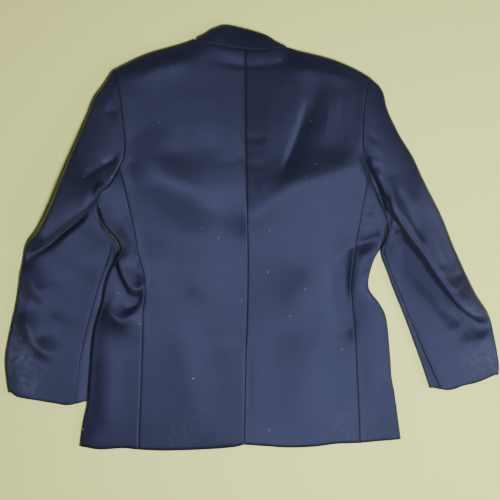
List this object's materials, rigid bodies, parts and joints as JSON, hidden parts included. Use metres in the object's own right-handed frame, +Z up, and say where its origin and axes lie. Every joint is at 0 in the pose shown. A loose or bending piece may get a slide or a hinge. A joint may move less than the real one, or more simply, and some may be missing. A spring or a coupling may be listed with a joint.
{
  "type": "blazer laid face down",
  "caption": "Navy wool blazer laid face down: centre seam and vent, side panels, set-in sleeves, folded collar.",
  "frame": {"origin": "middle of the coat's bounding box, at floor height", "axes": "+Y towards the collar, +X towards the sleeve on the right as seen from above (the wearer's right), +Z up from the floor"},
  "size_m": [0.964, 0.8302, 0.0351],
  "materials": {
    "navy_wool": "matte",
    "button": "satin"
  },
  "bodies": {
    "root": {"back_left": "navy_wool", "back_right": "navy_wool", "side_left": "navy_wool", "side_right": "navy_wool", "front_left": "navy_wool", "front_right": "navy_wool", "lapel_left": "navy_wool", "lapel_right": "navy_wool", "collar": "navy_wool", "collar_leaf_left": "navy_wool", "collar_leaf_right": "navy_wool", "vent_underlap": "navy_wool", "top_sleeve_left": "navy_wool", "top_sleeve_right": "navy_wool", "under_sleeve_left": "navy_wool", "under_sleeve_right": "navy_wool", "front_button_1": "button", "front_button_2": "button"}
  },
  "joints": []
}
